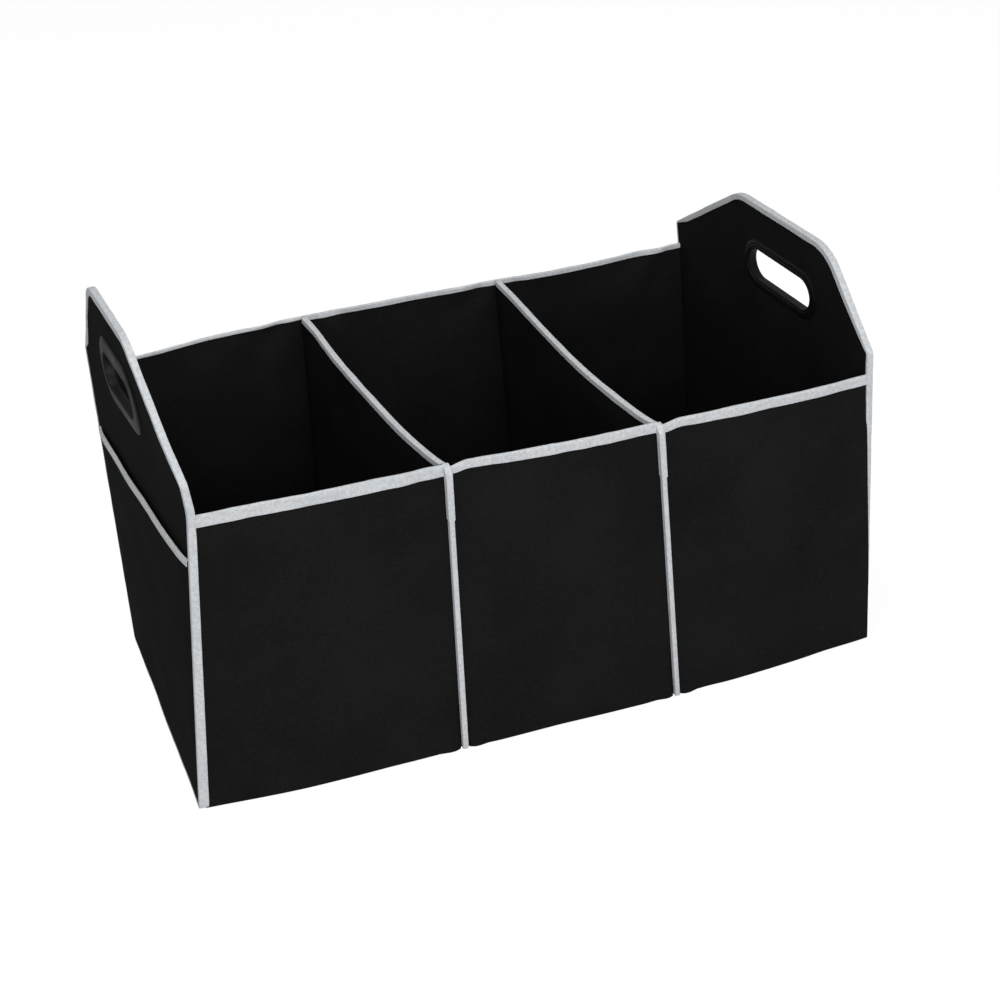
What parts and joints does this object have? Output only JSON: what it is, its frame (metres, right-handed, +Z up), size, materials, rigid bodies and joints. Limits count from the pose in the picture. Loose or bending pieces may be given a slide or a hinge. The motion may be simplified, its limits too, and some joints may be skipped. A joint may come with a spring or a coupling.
{
  "type": "car trunk organizer",
  "caption": "Open-topped fabric bin with raised end panels, moulded oval hand grips, inner dividers, outside end pockets and pale bound edges.",
  "frame": {"origin": "under the middle of the whole bag, on the floor", "axes": "+X along the row of bays to the right, +Y to the rear, +Z up"},
  "size_m": [0.6108, 0.3512, 0.3669],
  "materials": {
    "fabric": "matte non-woven cloth",
    "lining": "matte non-woven cloth",
    "tape": "stitched edge tape",
    "board": "pressed board",
    "grip": "satin moulded"
  },
  "bodies": {
    "root": {"left_end_outer_skin": "fabric", "left_end_board": "board", "left_end_inner_skin": "lining", "left_end_binding": "tape", "left_end_handle_outer_frame": "grip", "left_end_handle_inner_frame": "grip", "left_end_pocket": "fabric", "left_end_pocket_binding": "tape", "right_end_outer_skin": "fabric", "right_end_board": "board", "right_end_inner_skin": "lining", "right_end_binding": "tape", "right_end_handle_outer_frame": "grip", "right_end_handle_inner_frame": "grip", "right_end_pocket": "fabric", "right_end_pocket_binding": "tape", "divider_left_board": "board", "divider_left_skin_left": "lining", "divider_left_skin_right": "lining", "divider_left_top_binding": "tape", "divider_right_board": "board", "divider_right_skin_left": "lining", "divider_right_skin_right": "lining", "divider_right_top_binding": "tape", "front_wall_left": "fabric", "front_rim_binding_left": "tape", "front_wall_centre": "fabric", "front_rim_binding_centre": "tape", "front_wall_right": "fabric", "front_rim_binding_right": "tape", "front_seam_binding_left": "tape", "front_seam_binding_right": "tape", "rear_wall_left": "fabric", "rear_rim_binding_left": "tape", "rear_wall_centre": "fabric", "rear_rim_binding_centre": "tape", "rear_wall_right": "fabric", "rear_rim_binding_right": "tape", "rear_seam_binding_left": "tape", "rear_seam_binding_right": "tape", "base_fabric": "lining", "base_board_left": "board", "base_board_centre": "board", "base_board_right": "board"}
  },
  "joints": []
}
